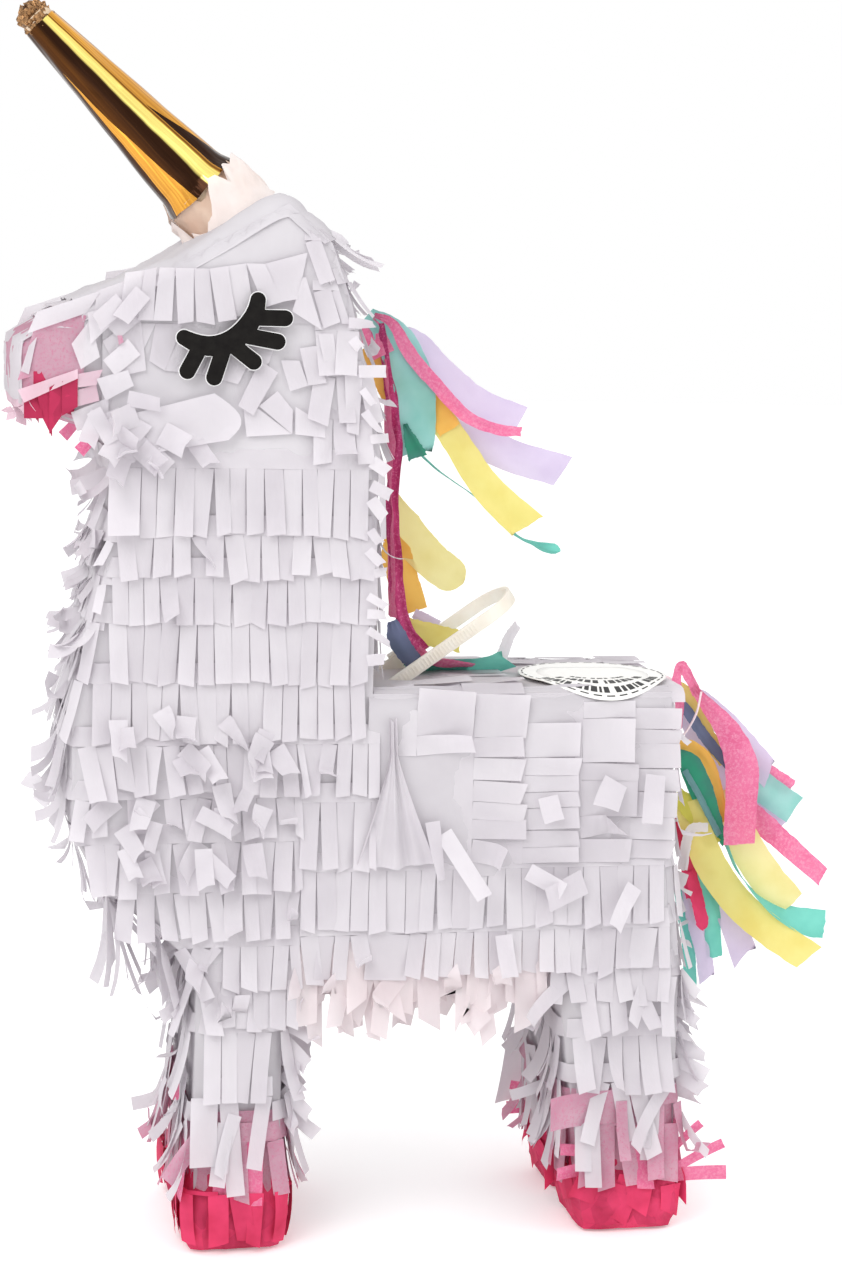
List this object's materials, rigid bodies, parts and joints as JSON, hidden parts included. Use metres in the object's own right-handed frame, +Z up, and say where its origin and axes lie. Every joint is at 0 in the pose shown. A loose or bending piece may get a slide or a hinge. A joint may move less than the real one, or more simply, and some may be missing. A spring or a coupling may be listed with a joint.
{
  "type": "pinata",
  "caption": "Upright unicorn pinata: hollow card body and legs under white tissue fringe, gold foil horn, ribbon mane and tail, fill flap and hanging loop.",
  "frame": {"origin": "centre of the bounding box, on the floor plane under the hooves", "axes": "+Z up, the unicorn faces -X, its left side is -Y"},
  "size_m": [0.298, 0.076, 0.418],
  "materials": {
    "body_card": "matte",
    "white_tissue": "matte",
    "pink_tissue": "matte",
    "lilac_tissue": "matte",
    "teal_tissue": "matte",
    "yellow_tissue": "matte",
    "thread": "matte",
    "nylon": "satin",
    "horn_paper": "matte",
    "gold_foil": "polished",
    "paper_tape": "matte",
    "label_paper": "satin",
    "eye_sticker": "satin"
  },
  "bodies": {
    "body": {"back_strip": "body_card", "back_tissue": "white_tissue", "belly_fringe": "white_tissue", "belly_strip": "body_card", "body_fringe_left": "white_tissue", "body_fringe_right": "white_tissue", "brow_strip": "body_card", "chest_fringe": "white_tissue", "chest_strip": "body_card", "front_left_hoof_wrap": "pink_tissue", "front_left_leg_fringe": "white_tissue", "front_left_leg_inner": "body_card", "front_left_leg_strip": "body_card", "front_right_hoof_wrap": "pink_tissue", "front_right_leg_fringe": "white_tissue", "front_right_leg_inner": "body_card", "front_right_leg_strip": "body_card", "head_tissue": "white_tissue", "horn_base_tape": "paper_tape", "horn_core": "horn_paper", "horn_foil": "gold_foil", "label_rim": "label_paper", "left_eye_sticker": "eye_sticker", "left_side_panel": "body_card", "mane_backing": "pink_tissue", "mane_lower_teal": "teal_tissue", "mane_lower_yellow": "yellow_tissue", "muzzle_strip": "body_card", "muzzle_tissue": "pink_tissue", "nape_strip": "body_card", "neck_fringe_1": "white_tissue", "neck_fringe_2": "white_tissue", "neck_fringe_3": "white_tissue", "neck_fringe_4": "white_tissue", "neck_fringe_5": "white_tissue", "rear_left_hoof_wrap": "pink_tissue", "rear_left_leg_fringe": "white_tissue", "rear_left_leg_inner": "body_card", "rear_left_leg_strip": "body_card", "rear_right_hoof_wrap": "pink_tissue", "rear_right_leg_fringe": "white_tissue", "rear_right_leg_inner": "body_card", "rear_right_leg_strip": "body_card", "right_eye_sticker": "eye_sticker", "right_side_panel": "body_card", "rump_fringe": "white_tissue", "rump_strip": "body_card"},
    "flap": {"fill_flap": "body_card", "flap_tissue": "white_tissue", "label_disc": "label_paper"},
    "tie": {"hang_tie": "nylon"},
    "mane": {"mane_upper_lilac": "lilac_tissue", "mane_upper_teal": "teal_tissue", "mane_upper_yellow": "yellow_tissue"},
    "tail": {"tail_binding": "thread", "tail_lilac": "lilac_tissue", "tail_pink": "pink_tissue", "tail_teal": "teal_tissue", "tail_yellow": "yellow_tissue"}
  },
  "joints": [
    {"name": "flap_hinge", "type": "hinge", "parent": "body", "child": "flap", "pos_m": [0.056, 0.003, 0.1955], "axis": [-1, 0, 0], "range_deg": [0, 110]},
    {"name": "tie_swing", "type": "hinge", "parent": "body", "child": "tie", "pos_m": [-0.017, 0, 0.1915], "axis": [0, -1, 0], "range_deg": [0, 45]},
    {"name": "mane_sway", "type": "hinge", "parent": "body", "child": "mane", "pos_m": [-0.017, 0, 0.3], "axis": [0, 0, 1], "range_deg": [-25, 25]},
    {"name": "tail_lift", "type": "hinge", "parent": "body", "child": "tail", "pos_m": [0.0868, 0, 0.19], "axis": [0, -1, 0], "range_deg": [0, 70]}
  ]
}
